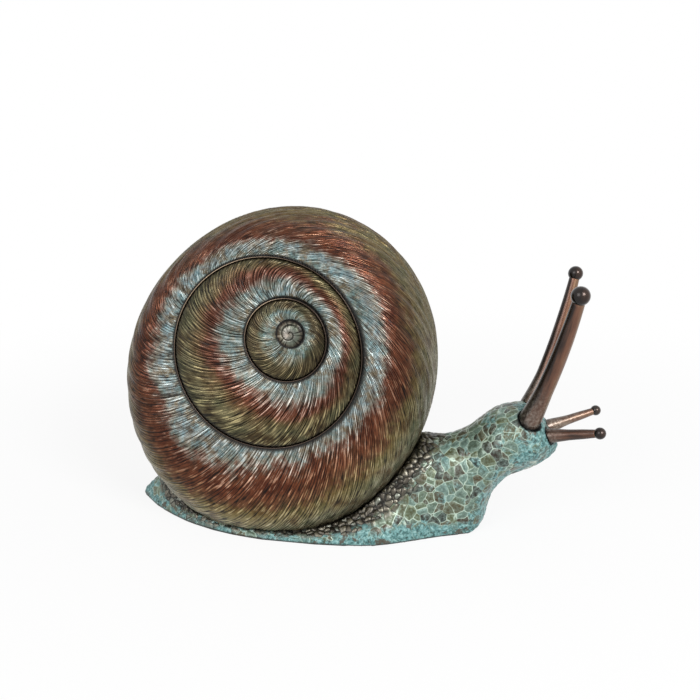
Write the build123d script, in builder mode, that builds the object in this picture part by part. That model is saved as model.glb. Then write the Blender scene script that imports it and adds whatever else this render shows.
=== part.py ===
import os
from math import cos, pi, radians, sin, sqrt

from build123d import *

# The snail stands on Z = 0 with its head towards +X and its right side towards -Y.
# Every size is in millimetres and every angle in degrees.

# Outer whorl of the shell: an oval in the middle plane that draws in to a round face on each side
shell_back_x = -165.2
shell_radius = 113.4
shell_oval = 0.055
shell_oval_angle = 65.0
shell_half_width = 54.0
shell_wall = 4.0
shell_sink = 20.5
whorl_roundness = 2.3
whorl_crest_share = 0.62

# Combed ribs that sweep from the round face out to the seam; the finer cords on them are surface finish
rib_count = 36
rib_depth = 0.7
rib_crown = 0.2
rib_stray = 0.18
rib_sweep = 52.0
rib_start_lean = 0.35

# Round face on each side of the outer whorl, where the inner whorls sit
face_radius = 64.5
face_forward = 2.8
face_up = 28.4
face_drop = 3.0
face_tilt = 7.0

# Second whorl, third whorl and apex button, each seated on the one below
bead_height = 1.8
bead_step = 1.6
ring_gap = 0.8
second_crest = 7.6
second_seat = 5.6
second_wall = 4.2
second_shoulder = 7.5
third_radius = 28.2
third_forward = 14.0
third_up = 10.7
third_crest = 4.8
third_seat = 3.8
third_shoulder = 10.2
apex_radius = 9.4
apex_forward = 4.0
apex_up = 4.8
apex_rise = 3.4
apex_shoulder = 4.9
apex_spigot_length = 3.4

# Lap along the seam of the two shell halves
lap_depth = 3.0
lap_thickness = 1.8

# Foot: an oval sole that carries the shell in a pocket
foot_back_x = -169.5
foot_front_x = 93.5
foot_half_width = 57.5
seat_height = 7.0
sole_stock = 1.0
sole_recess = 3.0
sole_rim = 9.0

# Neck and head, leaning forward from the front of the foot
head_height = 91.0
neck_half_width = 25.0
neck_wall = 5.0

# Screws through the sole into bosses in the shell
screw_radius = 2.5
screw_head_radius = 4.75
screw_head_height = 2.6
screw_reach = 14.0
boss_radius = 6.5
boss_spread_x = 30.0
boss_spread_y = 20.0

# Long stalks: the middle of the seat in the head and the middle of the ball, on the right side
upper_foot_x = 119.1
upper_foot_y = -13.6
upper_foot_z = 87.0
upper_ball_x = 144.0
upper_ball_y = -35.1
upper_ball_z = 176.2
upper_bow = 2.0
upper_ball_radius_right = 6.1
upper_ball_radius_left = 5.1
upper_collar_radius = 8.4
upper_collar_height = 7.0
upper_spigot_radius = 4.5
upper_spigot_length = 12.0
upper_pin_radius = 2.0
upper_pin_length = 7.0

# Short stalks
lower_foot_x = 133.0
lower_foot_y = -9.6
lower_foot_z = 73.0
lower_ball_x = 163.6
lower_ball_y = -22.2
lower_ball_z = 81.9
lower_bow = 0.0
lower_ball_radius_right = 4.0
lower_ball_radius_left = 3.6
lower_collar_radius = 5.4
lower_collar_height = 5.5
lower_spigot_radius = 3.0
lower_spigot_length = 9.0
lower_pin_radius = 1.2
lower_pin_length = 5.0

# Radius of a stalk as a share of its ball's radius: at the foot, along the way and just under the ball
stalk_shares = (1.03, 0.96, 0.89, 0.82, 0.68)

# Clearances
shell_clearance = 0.25
collar_clearance = 0.6
fit_clearance = 0.1

os.makedirs("parts", exist_ok=True)


def write(piece, name):
    """Give a finished piece its name and write it."""
    piece.label = name
    export_step(piece, f"parts/{name}.step")


def write_pair(piece, name):
    """Write a right-hand piece and its mirror image on the left side."""
    with BuildPart() as twin:
        mirror(piece, about=Plane.XZ)
    write(piece, f"{name}_right")
    write(twin.part, f"{name}_left")


def mix(start, end, share):
    """Value at a share of the way from start to end."""
    return start + (end - start) * share


def whorl_rise(share, crest, edge):
    """Height of a whorl at a share of the way in from its rim: steep at the rim, level at the crest."""
    if share < whorl_crest_share:
        outside = 1 - share / whorl_crest_share
        return crest * (1 - outside**whorl_roundness) ** (1 / whorl_roundness)
    inside = (share - whorl_crest_share) / (1 - whorl_crest_share)
    return mix(crest, edge, inside**2)


# Outer whorl: two hollow halves on a flat seat, with screw bosses inside

long_radius = shell_radius * (1 + shell_oval)
short_radius = shell_radius * (1 - shell_oval)
turn = radians(shell_oval_angle)
shell_reach_x = sqrt((long_radius * cos(turn)) ** 2 + (short_radius * sin(turn)) ** 2)
shell_reach_z = sqrt((long_radius * sin(turn)) ** 2 + (short_radius * cos(turn)) ** 2)
shell_x = shell_back_x + shell_reach_x
shell_z = seat_height - shell_sink + shell_reach_z
face_height = shell_half_width - face_drop
second_spigot_radius = face_radius - second_shoulder
shell_shares = (0, 0.004, 0.015, 0.035, 0.06, 0.1, 0.15, 0.22, 0.32, 0.46, 0.62, 0.82, 1)


def shell_plane(share, rise):
    """Plane of the outer whorl's section at a share of the way from the seam to the right face."""
    tilt = radians(face_tilt) * rise / shell_half_width
    centre = (shell_x + face_forward * share, -rise, shell_z + face_up * share)
    return Plane(origin=centre, x_dir=(1, 0, 0), z_dir=(0, -cos(tilt), sin(tilt)))


def shell_sections(grow):
    """Sections of the right half of the outer whorl, grown outwards all over by the given amount."""
    sections = []
    for share in shell_shares:
        rise = whorl_rise(share, shell_half_width + grow, face_height + grow)
        radius = mix(shell_radius + grow, face_radius, share)
        oval = shell_oval * (1 - share)
        with BuildSketch(shell_plane(share, rise)) as section:
            Ellipse(radius * (1 + oval), radius * (1 - oval), rotation=shell_oval_angle)
        sections.append(section.sketch)
    return sections


face = shell_plane(1, face_height)
face_axis = Axis(face.origin, face.z_dir)


def face_plane(forward, up, rise):
    """Plane parallel to the right face of the outer whorl, moved along it and out from it."""
    centre = face.from_local_coords((forward, up, rise))
    return Plane(origin=centre, x_dir=face.x_dir, z_dir=face.z_dir)


def shell_point(share, angle):
    """Point of the outer whorl at a share of the way from the seam to the right face, and an angle round it."""
    radius = mix(shell_radius, face_radius, share)
    oval = shell_oval * (1 - share)
    along = radius * (1 + oval) * cos(angle - turn)
    across = radius * (1 - oval) * sin(angle - turn)
    plane = shell_plane(share, whorl_rise(share, shell_half_width, face_height))
    return plane.from_local_coords(
        (along * cos(turn) - across * sin(turn), along * sin(turn) + across * cos(turn), 0)
    )


def way_out(share):
    """Length of the whorl's profile from the face to a share, as a share of its whole length to the seam."""
    steps = 50
    lengths = []
    for end in (share, 0):
        shares = [mix(1, end, step / steps) for step in range(steps + 1)]
        profile = [
            Vector(mix(shell_radius, face_radius, place), whorl_rise(place, shell_half_width, face_height))
            for place in shares
        ]
        lengths.append(sum((after - before).length for before, after in zip(profile, profile[1:])))
    return lengths[0] / lengths[1]


def rib_place(rib):
    """Place of a rib round the outer whorl, in ribs from the first, a little uneven as combed by hand."""
    return rib + rib_stray * sin((rib % rib_count) ** 2)


def ribbed_line(share):
    """Closed line round the outer whorl that dips between the ribs, level at the seam and at the face."""
    points = []
    nudge = 0.001
    way = way_out(share)
    lean = radians(rib_sweep) * mix(way**2, way, rib_start_lean)
    for rib in range(rib_count):
        dip = (rib_place(rib) + rib_place(rib + 1)) / 2
        for place, depth in ((rib_place(rib), rib_crown), (dip, rib_crown + rib_depth)):
            angle = 2 * pi * place / rib_count - lean
            here = shell_point(share, angle)
            if 0 < share < 1:
                inward = shell_point(share + nudge, angle) - here
                onward = shell_point(share, angle + nudge) - here
                here -= onward.cross(inward).normalized() * depth
            points.append(here)
    with BuildLine() as line:
        Spline(*points, periodic=True)
    return line.wire()


def lap_ring(inset, outer_radius):
    """Oval ring on the inner side of the shell's wall, on the seam."""
    with BuildSketch(Plane.XZ) as ring:
        with Locations((shell_x, shell_z)):
            for radius, mode in ((outer_radius, Mode.ADD), (shell_radius - shell_wall - inset, Mode.SUBTRACT)):
                long_way = radius * (1 + shell_oval)
                short_way = radius * (1 - shell_oval)
                Ellipse(long_way, short_way, rotation=shell_oval_angle, mode=mode)
    return ring.sketch


seat = Plane.XY.offset(seat_height)
shell_floor = Plane.XY.offset(seat_height + shell_wall)
boss_places = [(shell_x + step * boss_spread_x, -boss_spread_y) for step in (-1, 1)]

with BuildPart() as shell_cavity:
    loft(shell_sections(-shell_wall))
    split(bisect_by=shell_floor, keep=Keep.TOP)

with BuildPart() as shell_half:
    add(Solid.make_loft([ribbed_line(share) for share in shell_shares]))
    split(bisect_by=seat, keep=Keep.TOP)
    add(shell_cavity.part, mode=Mode.SUBTRACT)
    with BuildSketch(face):
        Circle(second_spigot_radius + fit_clearance)
    extrude(amount=-3 * shell_wall, mode=Mode.SUBTRACT)
    with BuildSketch(seat):
        with Locations(*boss_places):
            Circle(boss_radius)
    extrude(amount=screw_reach + shell_wall)
    with BuildSketch(seat):
        with Locations(*boss_places):
            Circle(screw_radius + fit_clearance)
    extrude(amount=screw_reach + fit_clearance, mode=Mode.SUBTRACT)

lap_radius = shell_radius - shell_wall + lap_thickness

with BuildPart() as shell_lap:
    extrude(lap_ring(0, lap_radius), amount=-lap_depth)
    split(bisect_by=shell_floor, keep=Keep.TOP)

with BuildPart() as shell_right:
    add(shell_half.part)
    add(shell_lap.part)
write(shell_right.part, "shell_right_half")

with BuildPart() as lap_rebate:
    extrude(lap_ring(fit_clearance, lap_radius + fit_clearance), amount=-lap_depth - fit_clearance)
    split(bisect_by=shell_floor, keep=Keep.TOP)

with BuildPart() as shell_left:
    mirror(shell_half.part, about=Plane.XZ)
    add(lap_rebate.part, mode=Mode.SUBTRACT)
write(shell_left.part, "shell_left_half")

# Inner whorls: domes with a bead round the rim and a spigot that goes into the whorl below

dome_shares = (0, 0.03, 0.12, 0.3, 0.62, 0.82, 1)


def dome_sections(base, rim_radius, crest, edge, edge_radius, edge_place):
    """Sections of a domed whorl from its rim to the round seat of the next one, which is off centre."""
    forward, up, rise = base
    edge_forward, edge_up = edge_place
    sections = []
    for share in dome_shares:
        height = rise + whorl_rise(share, crest, edge)
        with BuildSketch(face_plane(forward + edge_forward * share, up + edge_up * share, height)) as section:
            Circle(mix(rim_radius, edge_radius, share))
        sections.append(section.sketch)
    return sections


second_radius = face_radius - ring_gap
third_rim = third_radius - ring_gap
button_radius = apex_radius - ring_gap
third_spigot_radius = third_radius - third_shoulder
apex_spigot_radius = apex_radius - apex_shoulder
second_base = (0, 0, 0)
third_base = (third_forward, third_up, second_seat)
apex_base = (third_forward + apex_forward, third_up + apex_up, second_seat + third_seat)

with BuildPart() as second_whorl:
    with BuildSketch(face_plane(*second_base)):
        Circle(second_radius)
    extrude(amount=bead_height)
    fillet(second_whorl.edges().filter_by(GeomType.CIRCLE).sort_by(face_axis)[-1], bead_height / 3)
    loft(
        dome_sections(
            second_base,
            second_radius - bead_step,
            second_crest,
            second_seat,
            third_radius,
            (third_forward, third_up),
        )
    )
    with BuildSketch(face_plane(*second_base)):
        Circle(second_spigot_radius)
    extrude(amount=-shell_wall)
    with BuildSketch(face_plane(0, 0, second_seat - second_wall)):
        Circle(second_spigot_radius - second_wall)
    extrude(amount=-second_seat - 2 * shell_wall, mode=Mode.SUBTRACT)
    with BuildSketch(face_plane(*third_base)):
        Circle(third_spigot_radius + fit_clearance)
    extrude(amount=-2 * second_wall, mode=Mode.SUBTRACT)
write_pair(second_whorl.part, "second_whorl")

with BuildPart() as third_whorl:
    with BuildSketch(face_plane(*third_base)):
        Circle(third_rim)
    extrude(amount=bead_height)
    fillet(third_whorl.edges().filter_by(GeomType.CIRCLE).sort_by(face_axis)[-1], bead_height / 3)
    loft(
        dome_sections(
            third_base,
            third_rim - bead_step,
            third_crest,
            third_seat,
            apex_radius,
            (apex_forward, apex_up),
        )
    )
    with BuildSketch(face_plane(*third_base)):
        Circle(third_spigot_radius)
    extrude(amount=-second_wall)
    with BuildSketch(face_plane(*apex_base)):
        Circle(apex_spigot_radius + fit_clearance)
    extrude(amount=-apex_spigot_length - fit_clearance, mode=Mode.SUBTRACT)
write_pair(third_whorl.part, "third_whorl")

apex = face_plane(*apex_base)
button_edge = bead_step / 2
cap_rise = apex_rise - button_edge
cap_radius = (button_radius**2 + cap_rise**2) / (2 * cap_rise)

with BuildPart() as apex_button:
    with BuildSketch(Plane(origin=apex.origin, x_dir=apex.x_dir, z_dir=-apex.y_dir)):
        with BuildLine():
            Polyline(
                (0, apex_rise),
                (0, -apex_spigot_length),
                (apex_spigot_radius, -apex_spigot_length),
                (apex_spigot_radius, 0),
                (button_radius, 0),
                (button_radius, button_edge),
            )
            RadiusArc((button_radius, button_edge), (0, apex_rise), -cap_radius)
        make_face()
    revolve(axis=Axis(apex.origin, apex.z_dir))
write_pair(apex_button.part, "apex_button")

# Stalks: tapered and a little bowed, each with a collar and a spigot in the head and a pinned ball


def axial_plane(origin, direction):
    """Plane that holds the direction as its own Y, for turned profiles."""
    side = direction.cross(Vector(0, 0, 1)).normalized()
    return Plane(origin=origin, x_dir=side, z_dir=side.cross(direction))


def stalk_path(start, end, bow):
    """Line of a stalk from its seat to the middle of its ball, bowed forwards on the way."""
    run = (end - start).normalized()
    forward = (Vector(1, 0, 0) - run * run.X).normalized()
    return Bezier(start, (start + end) / 2 + forward * 2 * bow, end, mode=Mode.PRIVATE)


def ball_flat(ball_radius, top_radius):
    """Distance from the middle of a ball to the flat that sits on the end of its stalk."""
    return sqrt(ball_radius**2 - top_radius**2)


def stalk(path, ball_radius, collar, spigot, pin):
    """Tapered stalk with a flared collar, a spigot below it and a bore for the ball's pin."""
    collar_radius, collar_height = collar
    spigot_radius, spigot_length = spigot
    pin_radius, pin_length = pin
    radii = [ball_radius * share for share in stalk_shares]
    foot_radius = radii[0]
    end_direction = path % 1
    end = (path @ 1) - end_direction * ball_flat(ball_radius, radii[-1])
    planes = [Plane(origin=path @ (step / 4.5), z_dir=path % (step / 4.5)) for step in range(4)]
    planes.append(Plane(origin=end, z_dir=end_direction))
    with BuildPart() as turned:
        sections = []
        for radius, plane in zip(radii, planes):
            with BuildSketch(plane) as section:
                Circle(radius)
            sections.append(section.sketch)
        loft(sections)
        with BuildSketch(axial_plane(path @ 0, path % 0)) as profile:
            with BuildLine():
                Polyline(
                    (0, collar_height),
                    (0, -spigot_length),
                    (spigot_radius, -spigot_length),
                    (spigot_radius, 0),
                    (collar_radius, 0),
                    (collar_radius, collar_height / 8),
                )
                Spline(
                    (collar_radius, collar_height / 8),
                    (foot_radius, collar_height),
                    tangents=[(-0.6, 1), (-0.05, 1)],
                )
                Line((foot_radius, collar_height), (0, collar_height))
            make_face()
        revolve(profile.sketch, axis=Axis(path @ 0, path % 0))
        with BuildSketch(planes[-1]) as bore:
            Circle(pin_radius + fit_clearance)
        extrude(bore.sketch, amount=-pin_length - fit_clearance, mode=Mode.SUBTRACT)
    return turned.part


def ball(path, ball_radius, pin):
    """Ball with a flat and a pin that goes into the end of its stalk."""
    pin_radius, pin_length = pin
    top_radius = ball_radius * stalk_shares[-1]
    flat = ball_flat(ball_radius, top_radius)
    with BuildPart() as turned:
        with BuildSketch(axial_plane(path @ 1, path % 1)) as profile:
            with BuildLine():
                ThreePointArc((0, ball_radius), (ball_radius, 0), (top_radius, -flat))
                Polyline(
                    (top_radius, -flat),
                    (pin_radius, -flat),
                    (pin_radius, -flat - pin_length),
                    (0, -flat - pin_length),
                    (0, ball_radius),
                )
            make_face()
        revolve(profile.sketch, axis=Axis(path @ 1, path % 1))
    return turned.part


upper_collar = (upper_collar_radius, upper_collar_height)
upper_spigot = (upper_spigot_radius, upper_spigot_length)
upper_pin = (upper_pin_radius, upper_pin_length)
lower_collar = (lower_collar_radius, lower_collar_height)
lower_spigot = (lower_spigot_radius, lower_spigot_length)
lower_pin = (lower_pin_radius, lower_pin_length)
sockets = []

for name, side, upper_ball_radius, lower_ball_radius in (
    ("right", 1, upper_ball_radius_right, lower_ball_radius_right),
    ("left", -1, upper_ball_radius_left, lower_ball_radius_left),
):
    upper_path = stalk_path(
        Vector(upper_foot_x, upper_foot_y * side, upper_foot_z),
        Vector(upper_ball_x, upper_ball_y * side, upper_ball_z),
        upper_bow,
    )
    lower_path = stalk_path(
        Vector(lower_foot_x, lower_foot_y * side, lower_foot_z),
        Vector(lower_ball_x, lower_ball_y * side, lower_ball_z),
        lower_bow,
    )
    sockets.append((upper_path, upper_collar_radius, upper_spigot))
    sockets.append((lower_path, lower_collar_radius, lower_spigot))
    write(stalk(upper_path, upper_ball_radius, upper_collar, upper_spigot, upper_pin), f"upper_tentacle_{name}")
    write(ball(upper_path, upper_ball_radius, upper_pin), f"upper_eye_{name}")
    write(stalk(lower_path, lower_ball_radius, lower_collar, lower_spigot, lower_pin), f"lower_tentacle_{name}")
    write(ball(lower_path, lower_ball_radius, lower_pin), f"lower_tip_{name}")

# Body: foot, neck and head in one hollow casting

foot_length = foot_front_x - foot_back_x
foot_half_length = foot_length / 2
foot_middle_x = foot_back_x + foot_half_length


def sole_half_width(along):
    """Half width of the oval sole at a share of the foot's length from the tail."""
    return foot_half_width * (1 - abs(2 * along - 1) ** 2.4) ** 0.9


def body_section(station, inset=0):
    """One section of the body from the belly to the back, by its half widths, drawn in by a wall."""
    belly_along, belly_up, back_along, back_up, sole, flank, shoulder, lift = station
    belly_x = foot_back_x + foot_length * belly_along
    belly_z = head_height * belly_up
    along_x = foot_length * (back_along - belly_along)
    along_z = head_height * (back_up - belly_up)
    top = sqrt(along_x**2 + along_z**2) - inset
    rise = neck_half_width * lift
    low = inset if lift else -sole_stock - inset
    base = neck_half_width * sole if lift else sole_half_width(belly_along)
    left_side = [
        (inset - base, low + rise),
        (inset - neck_half_width * flank, mix(low, top, 0.4)),
        (inset - neck_half_width * shoulder, mix(low, top, 0.8)),
    ]
    right_side = [(-across, up) for across, up in reversed(left_side)]
    plane = Plane(origin=(belly_x, 0, belly_z), x_dir=(0, 1, 0), z_dir=(along_z, 0, -along_x))
    with BuildSketch(plane) as section:
        with BuildLine():
            Spline(
                *left_side,
                (0, top),
                *right_side,
                tangents=[(-rise / 3, 1), (-rise / 3, -1)],
            )
            ThreePointArc(right_side[-1], (0, low if lift else low - sole_stock), left_side[0])
        make_face()
    return section.sketch


# Each station: belly and back point in the middle plane, as shares of the foot's length and the head's height,
# then half widths at the sole, flank and shoulder and the lift of a round belly's edge, as shares of the
# neck's half width. A flat belly has no lift and takes its width from the oval sole.
foot_stations = [
    (0.0057, 0, 0.0057, 0.0352, 0, 0.064, 0.036, 0),
    (0.0418, 0, 0.0418, 0.1429, 0, 0.38, 0.22, 0),
    (0.1065, 0, 0.1065, 0.2527, 0, 0.88, 0.52, 0),
    (0.2129, 0, 0.2129, 0.2857, 0, 1.48, 0.88, 0),
    (0.4487, 0, 0.4487, 0.2198, 0, 1.9, 1.2, 0),
    (0.6388, 0, 0.6388, 0.4835, 0, 1.72, 1.04, 0),
]
neck_stations = [
    (0.7681, 0, 0.7681, 0.6374, 0, 1.52, 1.12, 0),
    (0.8821, 0, 0.8175, 0.7033, 0, 1.2, 0.92, 0),
    (0.9772, 0.0066, 0.8707, 0.7088, 0.72, 1.04, 0.8, 0.12),
    (0.9962, 0.1538, 0.9278, 0.7747, 0.52, 1, 0.76, 0.2),
    (1.0152, 0.3077, 0.9696, 0.8725, 0.48, 1, 0.76, 0.2),
    (1.0532, 0.4286, 1.0076, 0.9516, 0.48, 1, 0.8, 0.2),
]
head_stations = [
    (1.1027, 0.5, 1.0456, 0.989, 0.48, 0.96, 0.8, 0.2),
    (1.1407, 0.5714, 1.0703, 1, 0.44, 0.88, 0.76, 0.16),
    (1.1635, 0.6429, 1.0913, 0.9835, 0.36, 0.72, 0.6, 0.12),
    (1.1711, 0.7033, 1.1141, 0.9505, 0.2, 0.44, 0.36, 0.08),
]

with BuildPart() as shell_pocket:
    loft(shell_sections(shell_clearance))
    mirror(about=Plane.XZ)
    split(bisect_by=seat, keep=Keep.TOP)

with BuildPart() as pocket_wall:
    loft(shell_sections(shell_clearance + neck_wall))
    mirror(about=Plane.XZ)

with BuildPart() as neck_core:
    loft([body_section(station, neck_wall) for station in neck_stations])
    add(pocket_wall.part, mode=Mode.SUBTRACT)

screw_places = boss_places + [(x, -y) for x, y in boss_places]

with BuildPart() as body_casting:
    loft([body_section(station) for station in foot_stations + neck_stations + head_stations])
    split(bisect_by=Plane.XY, keep=Keep.TOP)
    add(shell_pocket.part, mode=Mode.SUBTRACT)
    add(neck_core.part, mode=Mode.SUBTRACT)
    with BuildSketch(Plane.XY):
        with Locations((foot_middle_x, 0)):
            Ellipse(foot_half_length - sole_rim, foot_half_width - sole_rim)
    extrude(amount=sole_recess, mode=Mode.SUBTRACT)
    with BuildSketch(Plane.XY):
        with Locations(*screw_places):
            Circle(screw_radius + fit_clearance)
    extrude(amount=seat_height, mode=Mode.SUBTRACT)
    for path, collar_radius, spigot in sockets:
        spigot_radius, spigot_length = spigot
        with BuildSketch(Plane(origin=path @ 0, z_dir=path % 0)):
            Circle(collar_radius + collar_clearance)
        extrude(amount=2 * spigot_length, mode=Mode.SUBTRACT)
        with BuildSketch(Plane(origin=path @ 0, z_dir=path % 0)):
            Circle(spigot_radius + fit_clearance)
        extrude(amount=-spigot_length - fit_clearance, mode=Mode.SUBTRACT)
write(body_casting.part, "body_casting")

# Screws that hold the shell down, from below

with BuildPart() as shell_screws:
    with BuildSketch(Plane.XY.offset(sole_recess)):
        with Locations(*screw_places):
            Circle(screw_head_radius)
    extrude(amount=-screw_head_height)
    with BuildSketch(Plane.XY.offset(sole_recess)):
        with Locations(*screw_places):
            Circle(screw_radius)
    extrude(amount=seat_height - sole_recess + screw_reach)
write(shell_screws.part, "shell_screws")
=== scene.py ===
import math

import bpy
import numpy as np
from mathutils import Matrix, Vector
from mathutils.bvhtree import BVHTree


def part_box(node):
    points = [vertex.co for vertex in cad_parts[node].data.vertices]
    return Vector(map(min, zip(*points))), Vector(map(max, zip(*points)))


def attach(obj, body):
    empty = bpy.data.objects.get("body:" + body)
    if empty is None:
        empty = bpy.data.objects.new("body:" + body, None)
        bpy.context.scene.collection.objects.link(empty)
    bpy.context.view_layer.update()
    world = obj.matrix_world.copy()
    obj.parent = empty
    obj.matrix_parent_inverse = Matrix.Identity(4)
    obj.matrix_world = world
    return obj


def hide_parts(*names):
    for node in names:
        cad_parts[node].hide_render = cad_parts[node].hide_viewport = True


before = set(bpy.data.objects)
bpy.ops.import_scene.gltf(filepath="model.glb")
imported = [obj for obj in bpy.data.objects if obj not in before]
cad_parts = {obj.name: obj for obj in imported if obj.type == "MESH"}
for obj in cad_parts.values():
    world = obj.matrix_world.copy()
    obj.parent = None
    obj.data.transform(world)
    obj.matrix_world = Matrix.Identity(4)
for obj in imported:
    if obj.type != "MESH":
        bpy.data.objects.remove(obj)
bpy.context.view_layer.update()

# Outer whorl of the shell. Two hollow bronze halves, lapped and soldered along the middle and dressed flush.
# The wax was combed from the inner ring to the rim before casting, so the skin is a fur of fine cords that
# lean over clockwise. Acid patina: blue-grey by the inner ring, copper red on the crest, olive at the rim.

mm = 0.001
shell_lo, shell_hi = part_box("shell_right_half")
shell_x = (shell_lo.x + shell_hi.x) / 2
shell_radius = 113.4 * mm
shell_oval = 0.055
shell_oval_angle = math.radians(65)
cos_oval, sin_oval = math.cos(shell_oval_angle), math.sin(shell_oval_angle)
shell_long, shell_short = shell_radius * (1 + shell_oval), shell_radius * (1 - shell_oval)
shell_z = shell_hi.z - math.hypot(shell_long * sin_oval, shell_short * cos_oval)
shell_half_width = 54 * mm
face_radius = 64.5 * mm
face_drop = 3 * mm
face_forward = 2.8 * mm
face_up = 28.4 * mm
face_tilt = math.radians(7)
crest_share = 0.62
roundness = 2.3
rib_count = 36
rib_depth = 0.7 * mm
rib_crown = 0.2 * mm
rib_stray = 0.18
rib_sweep = math.radians(52)
rib_start_lean = 0.35
rib_end_rim, rib_end_face = 0.015, 0.85
strand_sweep = (math.radians(56), math.radians(24))
cord_widths = (0.65, 1.35)
cord_heights = (0.8, 1)
cord_pitch = 2 * mm
groove_depths = (0.25, 1)
groove_sharpness = 3
swells_along = (2, 5)
swell_size = 0.07
grain_stretch = 0.17
shift_at_rim, shift_lost = 1.6, 0.8
# Painted shadow at the inner and outer edge of a whorl, and the painted highlight on its bead: the least,
# how much more, and where.
inner_edge_shadow = (0.03, 0.05, 20)
outer_edge_shadow = (0.02, 0.07, 235)
bead_highlight = (0.62, 0.38, 140)
one_way = 4


def fade(value, none, full):
    """Nought where a value is at none or beyond, one at full or beyond, and even between them."""
    return np.clip((value - none) / (full - none), 0, 1)


def most_at(way, least, more, angle):
    """A value round a whorl: the least, and more in one direction, in degrees from the snail's front."""
    return least + more * np.exp(one_way * (np.cos(way - math.radians(angle)) - 1))


def whorl_rise(share, crest, edge):
    """Height of a whorl at each share of the way in from its rim: steep at the rim, level at the crest."""
    outside = np.clip(1 - share / crest_share, 0, 1)
    inside = np.clip((share - crest_share) / (1 - crest_share), 0, 1)
    climb = crest * (1 - outside**roundness) ** (1 / roundness)
    return np.where(share < crest_share, climb, crest + (edge - crest) * inside**2)


def combed(count, columns_each, seed):
    """Places round a whorl of the columns that draw its cords, and each column's place across its cord."""
    rng = np.random.default_rng(seed)
    width = rng.uniform(*cord_widths, count)
    start = np.concatenate([[0], np.cumsum(width)[:-1]]) / width.sum()
    across = np.arange(columns_each) / columns_each
    turn = (start[:, None] + across[None, :] * (width / width.sum())[:, None]).ravel()
    return np.append(turn, 1.0), np.tile(across, count), np.repeat(np.arange(count), columns_each)


def deselect():
    """Leave nothing selected, in object mode."""
    if bpy.context.object and bpy.context.object.mode != "OBJECT":
        bpy.ops.object.mode_set(mode="OBJECT")
    bpy.ops.object.select_all(action="DESELECT")


def pick(piece):
    """Select one piece alone, and make it the active one."""
    deselect()
    piece.select_set(True)
    bpy.context.view_layer.objects.active = piece


def points_of(piece):
    """Points and normals of a piece's mesh, in metres."""
    count = len(piece.data.vertices)
    points, normals = np.empty(count * 3), np.empty(count * 3)
    piece.data.vertices.foreach_get("co", points)
    piece.data.vertices.foreach_get("normal", normals)
    return points.reshape(-1, 3), normals.reshape(-1, 3)


def attribute(piece, name, values):
    """One number or vector on each point of a piece, for its material to read."""
    values = np.asarray(values, np.float32)
    kind, field = ("FLOAT_VECTOR", "vector") if values.ndim > 1 else ("FLOAT", "value")
    layer = piece.data.attributes.new(name, kind, "POINT")
    layer.data.foreach_set(field, values.ravel())


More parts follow.
